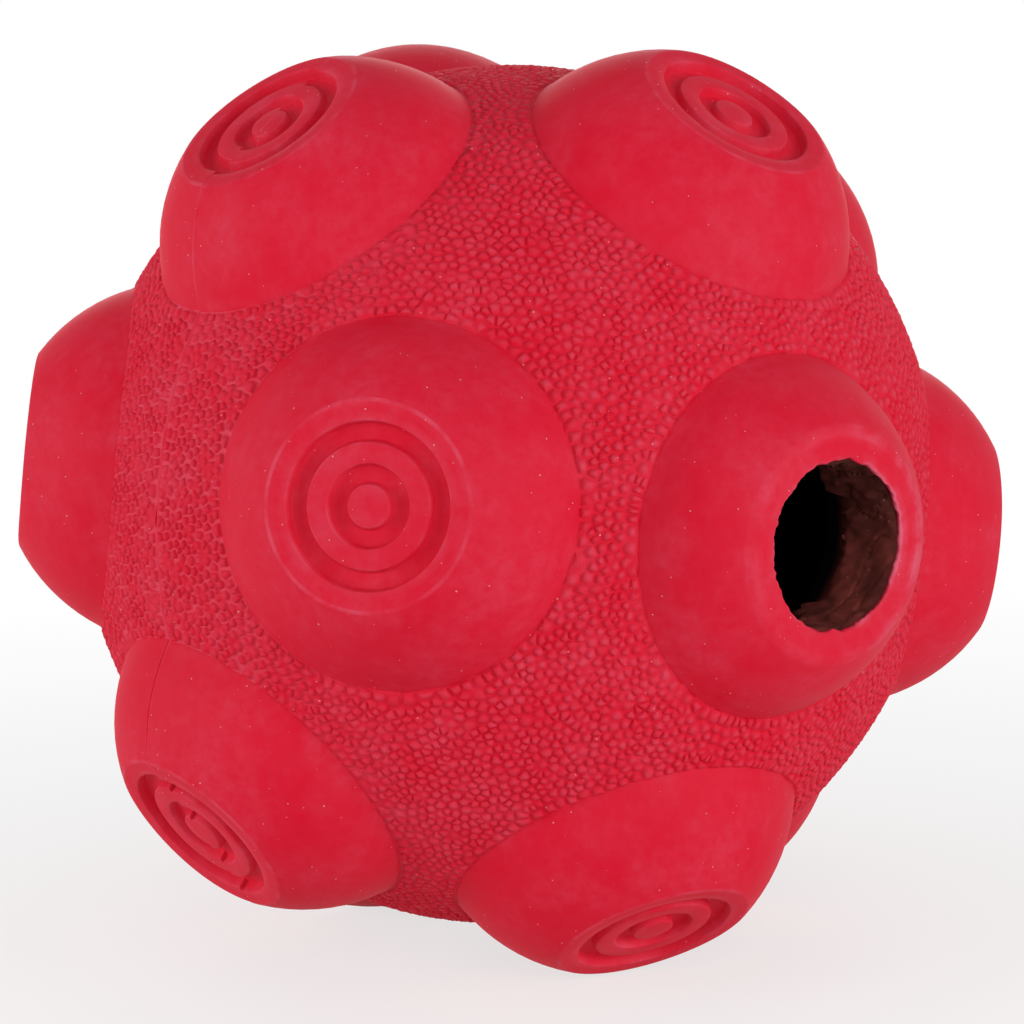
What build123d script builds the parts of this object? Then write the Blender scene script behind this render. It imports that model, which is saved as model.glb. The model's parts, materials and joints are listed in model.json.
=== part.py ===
from build123d import *
from math import atan, atan2, cos, hypot, radians, sin, sqrt
import os

# A hollow knobbed rubber ball that lets treats out of one pierced knob as it rolls.
# Each half is a thin red cover moulded over a brown core, and a cement layer joins the halves.
# Millimetres. The origin is the ball's centre, the mouth faces -Y and the seam lies at y = 0.
# +Z is up as the ball rests on three knobs.

# The ball
face_distance = 45.0  # ball's centre to the flat face of each closed knob
body_radius = 40.0  # outside of the ball between the knobs
wall = 7.0  # cover and core together, in the body and in the hollow knobs
cover_thickness = 0.8  # red cover alone

# A knob, which is a round dome cut off flat
dome_centre = 30.5  # ball's centre to the middle of the dome's round
knob_face_radius = 8.9  # flat face of a closed knob, before its rim is rounded
rim_fillet = 0.8  # rounding of the flat face's rim

# The ring relief in a closed knob's face, from the rim inwards
land_width = 1.75  # flat rim outside the outer groove
groove_width = 1.8  # each of the two grooves
ring_width = 1.75  # raised ring between the grooves
relief_depth = 1.0  # groove floor below the face
relief_draft = 0.15  # lean of each groove wall over its depth
ring_drop = 0.2  # ring and centre dot below the face

# The mouth
mouth_radius = 7.4  # bore that the treats go through
mouth_trim = 0.7  # the mouth knob's face is cut this much lower than the others
mouth_edge_fillet = 0.3  # rounding of the bore's outer edge

# The seam
bond_thickness = 0.3  # cement between the two halves
flash_height = 0.12  # squeezed-out cement that stands proud of the cover

# Worked out from the sizes above
dome_radius = hypot(face_distance - dome_centre, knob_face_radius)
mouth_face_distance = face_distance - mouth_trim
clear_of_ball = face_distance + body_radius  # further from the centre than anything reaches

# The knobs point at the six faces and eight corners of a cube, and four face knobs lie on the seam.
# The tilt about the mouth's axis brings one seam knob and two corner knobs down to the floor together.
quarter_turn = radians(90)
corner_elevation = atan(1 / sqrt(2))
rest_tilt = atan(sqrt(2) / cos(corner_elevation) - 1)
mouth_direction = Vector(0, -1, 0)


def ring_direction(turn, elevation):
    """Unit vector a number of quarter turns round the seam, raised towards the mouth."""
    angle = turn * quarter_turn - rest_tilt
    flat = Vector(sin(angle), 0, cos(angle))
    return flat * cos(elevation) + mouth_direction * sin(elevation)


seam_directions = [ring_direction(turn, 0) for turn in range(4)]
corner_directions = [
    ring_direction(turn + 1 / 2, side * corner_elevation) for side in (1, -1) for turn in range(4)
]
closed_directions = [-mouth_direction, *seam_directions, *corner_directions]


def pointed(solid, direction):
    """The solid turned so that its own +Z points along the direction."""
    return Plane(origin=(0, 0, 0), z_dir=direction) * solid


def turned(outline):
    """The solid of revolution about Z of a closed outline in the XZ plane."""
    return revolve(make_face(outline), Axis.Z)


def on_circle(x, z, radius, angle):
    """Point of a circle in the XZ plane about (x, z)."""
    return Vector(x + radius * cos(angle), 0, z + radius * sin(angle))


def flat_dome(radius, top, relief):
    """A ball along +Z, cut off flat at the top with a rounded rim.

    The relief's points lead from the rim in to the axis. The rounding touches the ball and the flat top.
    """
    rounding_z = top - rim_fillet
    rounding_x = sqrt((radius - rim_fillet) ** 2 - (rounding_z - dome_centre) ** 2)
    rim_angle = atan2(rounding_z - dome_centre, rounding_x)
    pole_angle = -quarter_turn
    side_angles = (pole_angle, (pole_angle + rim_angle) / 2, rim_angle)
    side = ThreePointArc(*[on_circle(0, dome_centre, radius, angle) for angle in side_angles])
    rounding = ThreePointArc(
        side @ 1,
        on_circle(rounding_x, rounding_z, rim_fillet, (rim_angle + quarter_turn) / 2),
        (rounding_x, 0, top),
    )
    inside = Polyline(rounding @ 1, *relief, side @ 0)
    return turned([side, rounding, inside])


def plain_dome(radius, top):
    """A flat-topped dome with nothing in its top."""
    return flat_dome(radius, top, [(0, 0, top)])


def ring_relief():
    """Points of the grooves, the raised ring and the centre dot, from the rim in to the axis."""
    floor = face_distance - relief_depth
    crest = face_distance - ring_drop
    groove_outer = knob_face_radius - land_width
    ring_outer = groove_outer - groove_width
    ring_inner = ring_outer - ring_width
    dot_radius = ring_inner - groove_width
    return [
        (groove_outer, 0, face_distance),
        (groove_outer - relief_draft, 0, floor),
        (ring_outer + relief_draft, 0, floor),
        (ring_outer, 0, crest),
        (ring_inner, 0, crest),
        (ring_inner - relief_draft, 0, floor),
        (dot_radius + relief_draft, 0, floor),
        (dot_radius, 0, crest),
        (0, 0, crest),
    ]


def knobbed_ball(radius, closed_knob, mouth_knob):
    """A full ball with the closed knobs and the mouth knob on it."""
    knobs = [pointed(closed_knob, direction) for direction in closed_directions]
    return Sphere(radius) + [*knobs, pointed(mouth_knob, mouth_direction)]


def cover_outside(proud):
    """The ball's outside, its round surfaces proud of their size by the amount given."""
    radius = dome_radius + proud
    closed_knob = flat_dome(radius, face_distance, ring_relief())
    return knobbed_ball(body_radius + proud, closed_knob, plain_dome(radius, mouth_face_distance))


def core_outside():
    """The core under the cover, which clears the floors of the grooves too."""
    radius = dome_radius - cover_thickness
    closed_knob = plain_dome(radius, face_distance - relief_depth - cover_thickness)
    mouth_knob = plain_dome(radius, mouth_face_distance - cover_thickness)
    return knobbed_ball(body_radius - cover_thickness, closed_knob, mouth_knob)


def cavity():
    """The hollow for the treats, with a pocket behind every knob."""
    pocket = plain_dome(dome_radius - wall, face_distance - wall)
    return knobbed_ball(body_radius - wall, pocket, pocket)


def mouth_bore():
    """The round hole from the cavity out through the mouth knob, with its outer edge rounded off."""
    edge_x = mouth_radius + mouth_edge_fillet
    edge_z = mouth_face_distance - mouth_edge_fillet
    rounding = ThreePointArc(
        *[on_circle(edge_x, edge_z, mouth_edge_fillet, turn * quarter_turn) for turn in (2, 3 / 2, 1)]
    )
    inside = Polyline(
        rounding @ 1,
        (edge_x, 0, clear_of_ball),
        (0, 0, clear_of_ball),
        (0, 0, 0),
        (mouth_radius, 0, 0),
        rounding @ 0,
    )
    return pointed(turned([rounding, inside]), mouth_direction)


def slab(near, far):
    """A block wider than the ball, between two planes square to the mouth's axis."""
    width = 2 * clear_of_ball
    block = Box(width, far - near, width, align=(Align.CENTER, Align.MIN, Align.CENTER))
    return Pos(0, near, 0) * block


def pieces():
    """Every piece of the ball, by the name of its node."""
    hollow = cavity()
    bore = mouth_bore()
    core_form = core_outside()
    cover = cover_outside(0) - core_form - bore
    core = core_form - hollow - bore
    half_bond = bond_thickness / 2
    mouth_side = slab(-clear_of_ball, -half_bond)
    rear_side = slab(half_bond, clear_of_ball)
    return {
        "mouth_cover": cover & mouth_side,
        "rear_cover": cover & rear_side,
        "mouth_core": core & mouth_side,
        "rear_core": core & rear_side,
        "seam_bond": (cover_outside(flash_height) - hollow) & slab(-half_bond, half_bond),
    }


os.makedirs("parts", exist_ok=True)
for node, piece in pieces().items():
    export_step(piece, f"parts/{node}.step")
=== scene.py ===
import json
import logging
import math
from dataclasses import dataclass, field, replace
from enum import Enum

import bmesh
import bpy
import numpy as np
from mathutils import Matrix, Vector
from mathutils.geometry import delaunay_2d_cdt


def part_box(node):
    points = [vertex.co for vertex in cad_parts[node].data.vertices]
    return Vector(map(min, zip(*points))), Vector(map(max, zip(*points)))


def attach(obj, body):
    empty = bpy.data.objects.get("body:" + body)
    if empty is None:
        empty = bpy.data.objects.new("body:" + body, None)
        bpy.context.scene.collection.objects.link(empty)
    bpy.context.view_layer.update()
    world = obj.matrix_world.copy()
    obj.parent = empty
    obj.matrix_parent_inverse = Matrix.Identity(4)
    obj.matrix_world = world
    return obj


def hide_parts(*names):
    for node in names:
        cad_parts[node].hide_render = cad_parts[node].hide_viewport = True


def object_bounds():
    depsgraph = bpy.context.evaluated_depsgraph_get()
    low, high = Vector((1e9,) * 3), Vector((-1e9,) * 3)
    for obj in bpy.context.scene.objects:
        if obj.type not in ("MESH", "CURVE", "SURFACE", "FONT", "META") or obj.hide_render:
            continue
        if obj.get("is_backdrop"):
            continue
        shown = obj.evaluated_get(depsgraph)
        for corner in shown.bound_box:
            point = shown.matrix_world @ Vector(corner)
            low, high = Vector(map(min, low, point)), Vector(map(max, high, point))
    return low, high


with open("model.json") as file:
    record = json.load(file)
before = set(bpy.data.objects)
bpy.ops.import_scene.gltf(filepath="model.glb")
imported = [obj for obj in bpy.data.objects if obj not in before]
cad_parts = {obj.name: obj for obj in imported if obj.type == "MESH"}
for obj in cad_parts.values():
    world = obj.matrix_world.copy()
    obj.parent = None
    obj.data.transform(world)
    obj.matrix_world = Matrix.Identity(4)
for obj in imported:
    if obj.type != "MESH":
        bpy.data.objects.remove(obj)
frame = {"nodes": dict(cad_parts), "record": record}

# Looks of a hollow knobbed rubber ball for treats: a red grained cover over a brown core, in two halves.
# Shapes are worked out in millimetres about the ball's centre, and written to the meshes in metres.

log = logging.getLogger("treat_ball")

MM = 0.001
BODY = "root"
FULL_TURN = 2 * math.pi
HALF_TURN = math.pi
ON_PLANE = 1e-6  # what lies nearer than this to a plane lies on it
TINY = 1e-9  # rounding error of an angle or a place
ALONG = 0.99  # cosine above which two directions count as one
CORNER_GRID = 1e6  # directions that agree when rounded on this grid are one corner
WAVE_SPREAD = (0.7, 1.4)  # range of the factors on the frequency of a ripple's waves
LONGEST_CUT = 0.4  # share of a side that the rounding of a corner may take
MIX_COLOURS = (6, 7)  # a Mix node's inputs for colours
MIX_RESULT = 2  # its output for the mixed colour
WHITE = (1, 1, 1, 1)


class Half(Enum):
    """A half of the ball, valued by the sign of y on its side of the seam."""

    MOUTH = -1.0
    REAR = 1.0


class Value(Enum):
    """A value that each vertex of a new piece carries for its finish."""

    # Paler on convex edges, partly edge wear and partly painted highlight. It also carries the painted
    # highlight on the mouth knob's right rim and the painted light low on the core.
    WEAR_AND_LIGHT = "wear"
    # pebble tops painted paler: partly rubbed wear, partly painted highlight
    RUBBED_AND_HIGHLIGHT = "rubbed"
    CREVICE = "crevice"


def unit(vectors: np.ndarray) -> np.ndarray:
    """Each row divided by its length."""
    return vectors / np.linalg.norm(vectors, axis=-1, keepdims=True)


def ripple(points: np.ndarray, wavelength: float, seed: int, waves: int = 7) -> np.ndarray:
    """Smooth noise between about -1 and 1: the mean of plane sine waves in random directions.

    Args:
        points: positions in millimetres, one in each row.
        wavelength: length of the waves in millimetres.
        seed: start of the random directions and phases.
        waves: how many waves are added up.

    Returns:
        One value for each point.
    """
    rng = np.random.default_rng(seed)
    ways = unit(rng.normal(size=(waves, 3))) * rng.uniform(*WAVE_SPREAD, (waves, 1))
    phases = rng.uniform(0, FULL_TURN, waves)
    sines = np.sin(points @ ways.T * (FULL_TURN / wavelength) + phases)
    return sines.sum(axis=-1) / math.sqrt(waves)


@dataclass(frozen=True)
class Unevenness:
    """One band of smooth noise: its share, its wavelength in millimetres, its seed and its waves."""

    share: float
    wavelength: float
    seed: int
    waves: int = 7

    def at(self, points: np.ndarray) -> np.ndarray:
        """The share times the ripple at each point."""
        return self.share * ripple(points, self.wavelength, self.seed, self.waves)


def rounded(corners: np.ndarray, cut: float) -> np.ndarray:
    """A path with each inner corner replaced by three points of a short curve.

    Each corner P between its neighbours gives A and B, which lie on its two sides a cut's length away,
    or the longest share of the side where that is shorter, and the point (A + 2 P + B) / 4 between them.

    Args:
        corners: points of the path, one in each row.
        cut: how far from a corner the rounding starts.

    Returns:
        The points of the rounded path.
    """
    inner = corners[1:-1]
    before, after = corners[:-2] - inner, corners[2:] - inner
    length_before = np.linalg.norm(before, axis=1, keepdims=True)
    length_after = np.linalg.norm(after, axis=1, keepdims=True)
    start = inner + before / length_before * np.minimum(cut, LONGEST_CUT * length_before)
    end = inner + after / length_after * np.minimum(cut, LONGEST_CUT * length_after)
    middle = (start + 2 * inner + end) / 4
    curve = np.stack([start, middle, end], axis=1).reshape(-1, corners.shape[1])
    return np.concatenate([corners[:1], curve, corners[-1:]])


class MeshDraft:
    """Vertices, faces and vertex values of one piece, gathered as whole arrays in millimetres."""

    def __init__(self) -> None:
        """Start with nothing."""
        self.points = np.zeros((0, 3))
        self.values = {value: np.zeros(0) for value in Value}
        self.faces: list[np.ndarray] = []

    def add_points(self, points: np.ndarray, **values: np.ndarray | float) -> np.ndarray:
        """Append vertices.

        Args:
            points: positions whose last axis holds x, y and z.
            values: the points' values by name, zero where left out.

        Returns:
            The new vertices' numbers, in the shape of the points without the last axis.
        """
        shape = points.shape[:-1]
        first = len(self.points)
        self.points = np.concatenate([self.points, points.reshape(-1, 3)])
        for value in Value:
            given = np.broadcast_to(values.get(value.value, 0.0), shape).ravel()
            self.values[value] = np.concatenate([self.values[value], given])
        return first + np.arange(math.prod(shape)).reshape(shape)

    def join_rows(self, rows: np.ndarray, around: bool, closed: bool = False) -> None:
        """Quads between neighbouring rows of a grid of vertex numbers.

        Args:
            rows: vertex numbers, one row of the grid in each row.
            around: whether the last vertex of a row joins its first.
            closed: whether the last row joins the first.
        """
        if around:
            rows = np.concatenate([rows, rows[:, :1]], axis=1)
        if closed:
            rows = np.concatenate([rows, rows[:1]])
        quads = np.stack([rows[:-1, :-1], rows[:-1, 1:], rows[1:, 1:], rows[1:, :-1]], axis=-1)
        self.faces.append(quads.reshape(-1, 4))

    def fan(self, row: np.ndarray, tip: int, around: bool) -> None:
        """Triangles from a row of vertices to one tip vertex.

        Args:
            row: vertex numbers of the row.
            tip: number of the tip vertex.
            around: whether the row is a closed ring.
        """
        ends = np.roll(row, -1) if around else row[1:]
        starts = row if around else row[:-1]
        self.faces.append(np.stack([starts, ends, np.full_like(starts, tip)], axis=-1))

    def zip_rows(
        self,
        first: np.ndarray,
        first_angle: np.ndarray,
        second: np.ndarray,
        second_angle: np.ndarray,
        around: bool,
    ) -> None:
        """Triangles between two rows of vertices that run round the same axis with their own spacing.

        Both rows are put in order of angle. Walking up all the angles in turn, each step along one row
        makes a triangle with the vertex that the other row has reached.

        Args:
            first: vertex numbers of one row.
            first_angle: their angles round the axis.
            second: vertex numbers of the other row.
            second_angle: their angles round the axis.
            around: whether the rows are closed rings.
        """
        order, other = np.argsort(first_angle), np.argsort(second_angle)
        a, a_angle = first[order], first_angle[order]
        b, b_angle = second[other], second_angle[other]
        if around:
            a, b = np.append(a, a[0]), np.append(b, b[0])
            a_angle = np.append(a_angle, a_angle[0] + FULL_TURN)
            b_angle = np.append(b_angle, b_angle[0] + FULL_TURN)
        a_step = np.concatenate([np.ones(len(a) - 1, int), np.zeros(len(b) - 1, int)])
        a_step = a_step[np.argsort(np.concatenate([a_angle[1:], b_angle[1:]]), kind="stable")]
        at_a = np.cumsum(a_step) - a_step
        at_b = np.cumsum(1 - a_step) - (1 - a_step)
        next_a = a[np.minimum(at_a + 1, len(a) - 1)]
        next_b = b[np.minimum(at_b + 1, len(b) - 1)]
        third = np.where(a_step == 1, next_a, next_b)
        self.faces.append(np.stack([a[at_a], third, b[at_b]], axis=-1))

    def to_object(self, name: str, sharp_angle: float) -> bpy.types.Object:
        """The piece as a closed mesh object at the origin, with its faces outwards.

        Args:
            name: the object's name.
            sharp_angle: edges that bend by more than this, in degrees, stay sharp.

        Returns:
            The new object, linked to the scene.
        """
        mesh = bpy.data.meshes.new(name)
        sizes = np.concatenate([np.full(len(part), part.shape[1]) for part in self.faces])
        corners = np.concatenate([part.ravel() for part in self.faces])
        mesh.vertices.add(len(self.points))
        mesh.vertices.foreach_set("co", (self.points * MM).astype(np.float32).ravel())
        mesh.loops.add(len(corners))
        mesh.loops.foreach_set("vertex_index", corners.astype(np.int32))
        mesh.polygons.add(len(sizes))
        mesh.polygons.foreach_set("loop_start", (np.cumsum(sizes) - sizes).astype(np.int32))
        mesh.update(calc_edges=True)
        for value, numbers in self.values.items():
            layer = mesh.attributes.new(value.value, "FLOAT", "POINT")
            layer.data.foreach_set("value", numbers.astype(np.float32))
        shell = bmesh.new()
        shell.from_mesh(mesh)
        bmesh.ops.recalc_face_normals(shell, faces=shell.faces)
        shell.to_mesh(mesh)
        shell.free()
        mesh.validate()
        mesh.shade_smooth()
        mesh.set_sharp_from_angle(angle=math.radians(sharp_angle))
        piece = bpy.data.objects.new(name, mesh)
        bpy.context.scene.collection.objects.link(piece)
        return piece


@dataclass(frozen=True)
class BallForm:
    """Sizes of the ball's rubber in millimetres, and where its knobs point."""

    face_distance: float
    mouth_face_distance: float
    mouth_radius: float
    body_radius: float = 40.0
    wall: float = 7.0
    cover_thickness: float = 0.8
    dome_centre: float = 30.5
    knob_face_radius: float = 8.9
    rim_fillet: float = 0.8
    land_width: float = 1.75
    groove_width: float = 1.8
    ring_width: float = 1.75
    relief_depth: float = 1.0
    relief_draft: float = 0.2
    ring_drop: float = 0.2
    cut_edge: float = 0.4
    half_bond: float = 0.15
    seam_reach: float = 8.0

    @classmethod
    def from_frame(cls) -> "BallForm":
        """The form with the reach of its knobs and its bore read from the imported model.

        Returns:
            The ball's form.
        """
        mouth = next(mount for mount in frame["record"]["mounts"] if mount["name"] == "mouth")
        return cls(
            face_distance=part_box("rear_cover")[1].y / MM,
            mouth_face_distance=-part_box("mouth_cover")[0].y / MM,
            mouth_radius=mouth["dims"]["r_mm"],
        )

    @property
    def dome_radius(self) -> float:
        """Radius of a knob's round side."""
        return math.hypot(self.face_distance - self.dome_centre, self.knob_face_radius)

    @property
    def foot_angle(self) -> float:
        """Angle at the ball's centre between a knob's axis and its foot."""
        along = self.body_radius**2 - self.dome_radius**2 + self.dome_centre**2
        return math.acos(along / (2 * self.dome_centre * self.body_radius))

    @property
    def knob_axes(self) -> np.ndarray:
        """Unit vectors of the knobs: the mouth, the rear, four on the seam and eight at a cube's corners.

        The turn about the mouth's axis puts one seam knob and two corner knobs on the floor together.

        Returns:
            One unit vector in each row.
        """
        rise = math.atan(1 / math.sqrt(2))
        rest = math.atan(math.sqrt(2) / math.cos(rise) - 1)
        turns = np.arange(4) * HALF_TURN / 2 - rest
        between = turns + HALF_TURN / 4
        seam = np.stack([np.sin(turns), np.zeros(4), np.cos(turns)], axis=1)
        corner = np.stack([np.sin(between), np.full(4, -math.tan(rise)), np.cos(between)], axis=1)
        poles = np.array([[0.0, Half.MOUTH.value, 0.0], [0.0, Half.REAR.value, 0.0]])
        return np.concatenate([poles, seam, unit(corner), unit(corner * [1, -1, 1])])

    def skin(self, directions: np.ndarray, inset: float, closed_top: float, mouth_top: float) -> np.ndarray:
        """Points of a knobbed skin along directions from the ball's centre.

        Along the unit vector d the body reaches its radius less the inset. A knob along k is a dome,
        reached at t = C c + sqrt(r r - C C (1 - c c)), where c = d.k, C is the dome's centre and r its
        radius less the inset, and its flat top stops t at top / c. The skin is the furthest of these.

        Args:
            directions: unit vectors on the last axis.
            inset: depth below the ball's outside.
            closed_top: distance of a closed knob's flat top.
            mouth_top: distance of the mouth knob's flat top.

        Returns:
            A point for each direction.
        """
        cosine = np.maximum(directions @ self.knob_axes.T, ON_PLANE)
        under = (self.dome_radius - inset) ** 2 - self.dome_centre**2 * (1 - cosine**2)
        dome = self.dome_centre * cosine + np.sqrt(np.maximum(under, 0))
        tops = np.full(len(self.knob_axes), closed_top)
        tops[0] = mouth_top
        knob = np.where(under > 0, np.minimum(dome, tops / cosine), 0)
        reach = np.maximum(knob.max(axis=-1), self.body_radius - inset)
        return directions * reach[..., None]

    def core_skin(self, directions: np.ndarray) -> np.ndarray:
        """Points where the cover meets the core, a cover's thickness inside the ball.

        Args:
            directions: unit vectors on the last axis.

        Returns:
            A point for each direction.
        """
        inset = self.cover_thickness
        closed_top = self.face_distance - self.relief_depth - inset
        return self.skin(directions, inset, closed_top, self.mouth_face_distance - inset)

    def cavity_skin(self, directions: np.ndarray) -> np.ndarray:
        """Points of the treat cavity's wall."""
        top = self.face_distance - self.wall
        return self.skin(directions, self.wall, top, top)

    def open_seam(self, points: np.ndarray, half: Half) -> np.ndarray:
        """Points moved off the seam plane to leave room for the cement.

        Half the cement is added to the distance from the plane, and less of it further off, down to
        nothing at the seam's reach.

        Args:
            points: positions on one half.
            half: the half that they lie on.

        Returns:
            The moved positions.
        """
        height = np.abs(points[..., 1])
        gap = self.half_bond * np.clip(1 - height / self.seam_reach, 0, 1)
        moved = points.copy()
        moved[..., 1] = half.value * (height + gap)
        return moved


def spoke_angles(spokes: int) -> np.ndarray:
    """Angles about the mouth's axis of the spokes of a bowl."""
    return np.arange(spokes) * FULL_TURN / spokes


def bowl(half: Half, nearest: float, rings: int, spokes: int) -> np.ndarray:
    """Unit vectors on a grid that runs from the seam to near a half's pole.

    Args:
        half: the half of the ball.
        nearest: angle between the pole and the last ring.
        rings: rings from the seam to the pole.
        spokes: directions round each ring.

    Returns:
        Unit vectors by ring and spoke.
    """
    tilt = np.linspace(HALF_TURN / 2, nearest, rings)[:, None]
    turn = spoke_angles(spokes)
    x, y, z = np.broadcast_arrays(
        np.sin(tilt) * np.sin(turn), half.value * np.cos(tilt), np.sin(tilt) * np.cos(turn)
    )
    return np.stack([x, y, z], axis=-1)


def seam_angle(points: np.ndarray) -> np.ndarray:
    """Angle of each point about the mouth's axis, from +Z towards +X, between 0 and a full turn."""
    return np.mod(np.arctan2(points[..., 0], points[..., 2]), FULL_TURN)


@dataclass
class PebbleGrain:
    """Moulded grain between the knobs: small raised pebbles parted by crevices.

    Lengths are in millimetres, the jitter, reaches and waves in pitches, and a pair is the range of a
    random share. The slant is a direction that the angles round each patch are measured by.
    """

    form: BallForm
    pitch: float = 0.93
    jitter: float = 0.23
    settling: float = 0.7
    thinned: float = 0.08
    crown: float = 0.12
    depth: float = 0.2
    foot: float = 0.83
    shoulder: float = 0.8
    roundness: float = 1.0
    fused_above: float = 0.65
    edge_gap: float = 0.25
    seed: int = 11
    clear_reach: float = 0.36
    mirror_reach: float = 3.0
    fused_wave: float = 2.0
    fused_depth: float = 0.15
    sinking: tuple[float, float] = (0.7, 1.1)
    growth: tuple[float, float] = (0.85, 1.08)
    rise: tuple[float, float] = (0.5, 1.0)
    # range of how much paler each pebble's top is painted, rubbed wear and painted highlight
    rubbing_and_highlight: tuple[float, float] = (0.2, 1.0)
    foot_limit: float = 0.94
    foot_crevice: float = 0.8
    shoulder_lift: float = 0.3
    shoulder_highlight: float = 0.3
    shoulder_crevice: float = 0.1
    slant: tuple[float, float, float] = (0.31, 0.25, 0.92)

    @property
    def edge_angle(self) -> float:
        """Angle at the ball's centre between a knob's axis and the grain's edge round its foot."""
        return self.form.foot_angle + self.edge_gap / self.form.body_radius

    def middles(self, half: Half) -> np.ndarray:
        """Unit vectors of the pebbles' middles on one half.

        They start as a sunflower spiral over the whole ball, where point i of n lies at the height
        1 - 2 i / n and each turns by the golden angle, and are jittered and thinned out at random.

        Args:
            half: the half of the ball.

        Returns:
            One unit vector in each row.
        """
        radius = self.form.body_radius
        count = round(4 * math.pi * radius**2 / (self.pitch**2 * math.sqrt(3) / 2))
        step = np.arange(count) + 0.5
        height = 1 - 2 * step / count
        turn = math.pi * (1 + math.sqrt(5)) * step
        flat = np.sqrt(1 - height**2)
        spiral = np.stack([flat * np.cos(turn), flat * np.sin(turn), height], axis=1)
        rng = np.random.default_rng(self.seed)
        spread = self.jitter * self.pitch / radius
        points = unit(spiral + rng.normal(scale=spread, size=spiral.shape))
        kept = rng.random(count) > self.thinned
        room = self.clear_reach * self.pitch / radius
        clear = np.arccos(points @ self.form.knob_axes.T).min(axis=1) > self.edge_angle + room
        return points[kept & clear & (points[:, 1] * half.value > room)]

    def with_mirrors(self, points: np.ndarray) -> np.ndarray:
        """The middles with their mirror images over each knob's foot and over the seam.

        The images make the pebbles end at those lines.

        Args:
            points: unit vectors of the middles.

        Returns:
            The middles, and after them their images.
        """
        reach = self.mirror_reach * self.pitch / self.form.body_radius
        axes = self.form.knob_axes
        angle = np.arccos(points @ axes.T)
        which, knob = np.nonzero(angle < self.edge_angle + reach)
        axis = axes[knob]
        across = unit(points[which] - axis * (points[which] * axis).sum(axis=1, keepdims=True))
        inside = (2 * self.edge_angle - angle[which, knob])[:, None]
        images = np.concatenate([points, axis * np.cos(inside) + across * np.sin(inside)])
        near_seam = images[np.abs(images[:, 1]) < reach]
        return np.concatenate([images, near_seam * [1, -1, 1]])

    @staticmethod
    def triangles(points: np.ndarray, half: Half) -> np.ndarray:
        """Triangles that join each point on a sphere to its neighbours.

        The points are laid flat from the far pole, at x / (1 + s y) and z / (1 + s y) with the half's sign s.
        This keeps circles round, so the flat triangles with no point in their circles are the sphere's too.

        Args:
            points: unit vectors.
            half: the half that they lie on.

        Returns:
            The numbers of three points in each row.
        """
        flat = points[:, [0, 2]] / (1 + half.value * points[:, 1:2])
        _, _, faces, sources, _, _ = delaunay_2d_cdt(flat.tolist(), [], [], 0, TINY)
        return np.array([source[0] for source in sources])[np.array(faces)]

    def patches(self, own: np.ndarray, half: Half) -> tuple[np.ndarray, np.ndarray, np.ndarray]:
        """Corners of the patches of the ball that lie nearest to each middle.

        A corner is a direction that lies as far from three middles, square to the plane through them.

        Args:
            own: unit vectors of the middles.
            half: the half that they lie on.

        Returns:
            Unit vectors of the corners, and for every corner in turn round every patch the number of
            the patch and of the corner.
        """
        points = self.with_mirrors(own)
        triangles = self.triangles(points, half)
        a, b, c = (points[triangles[:, i]] for i in range(3))
        corner = unit(np.cross(b - a, c - a))
        corner *= np.sign((corner * a).sum(axis=1, keepdims=True))
        grid = np.round(corner * CORNER_GRID)
        _, kept, same = np.unique(grid, axis=0, return_index=True, return_inverse=True)
        corner = corner[kept]
        pairs = np.stack([triangles.ravel(), np.repeat(same.ravel(), 3)], axis=1)
        seed, at = np.unique(pairs[pairs[:, 0] < len(own)], axis=0).T
        axis = own[seed]
        east = unit(np.cross(axis, self.slant))
        north = np.cross(axis, east)
        angle = np.arctan2((corner[at] * north).sum(axis=1), (corner[at] * east).sum(axis=1))
        order = np.lexsort((angle, seed))
        used, at = np.unique(at[order], return_inverse=True)
        return corner[used], seed[order], at

    @staticmethod
    def patch_centres(corner: np.ndarray, seed: np.ndarray, at: np.ndarray) -> np.ndarray:
        """Unit vectors of the patches' centres: the mean of each patch's corners.

        Args:
            corner: unit vectors of the corners.
            seed: for every corner in turn round every patch, the number of the patch.
            at: the number of that corner.

        Returns:
            One unit vector for each patch.
        """
        centre = np.zeros((seed.max() + 1, 3))
        np.add.at(centre, seed, corner[at])
        return unit(centre)

    def add_to(self, draft: MeshDraft, half: Half) -> tuple[np.ndarray, np.ndarray]:
        """Add one half's pebbles to a draft.

        Each pebble is the patch nearest to its middle, after the middles have moved a share of the way to
        their patches' centres. Its corners are sunk to the crevice, but for some where pebbles run
        together. Its outline, drawn in to the foot's share and made round, lies at the same depth and
        leaves a flat crevice. The foot's outline, drawn in again to the shoulder's share, is raised, and
        its middle to the crown.

        Args:
            draft: the cover's draft.
            half: the half to cover.

        Returns:
            Vertex numbers of the two ends of each of the patch's open edges, and their unit vectors.
        """
        own = self.middles(half)
        loose = self.patch_centres(*self.patches(own, half))
        own = unit(own + self.settling * (loose - own))
        crevice_way, seed, at = self.patches(own, half)
        centre = self.patch_centres(crevice_way, seed, at)
        sides = np.bincount(seed)
        first = np.cumsum(sides) - sides
        following = np.arange(len(seed)) + 1
        following[first + sides - 1] = first
        rng = np.random.default_rng(self.seed + 1)
        radius = self.form.body_radius
        sunk = self.depth * rng.uniform(*self.sinking, len(crevice_way))
        runs_together = ripple(crevice_way * radius, self.fused_wave * self.pitch, self.seed + 2)
        sunk[runs_together > self.fused_above] *= self.fused_depth
        depth_share = np.clip(sunk / self.depth, 0, 1)
        crevices = draft.add_points(crevice_way * (radius - sunk)[:, None], crevice=depth_share)
        outward = crevice_way[at] - centre[seed]
        reach = np.linalg.norm(outward, axis=1)
        mean_reach = np.bincount(seed, reach) / sides
        evened = 1 + self.roundness * (mean_reach[seed] / reach - 1)
        grown = rng.uniform(*self.growth, len(own))
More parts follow.
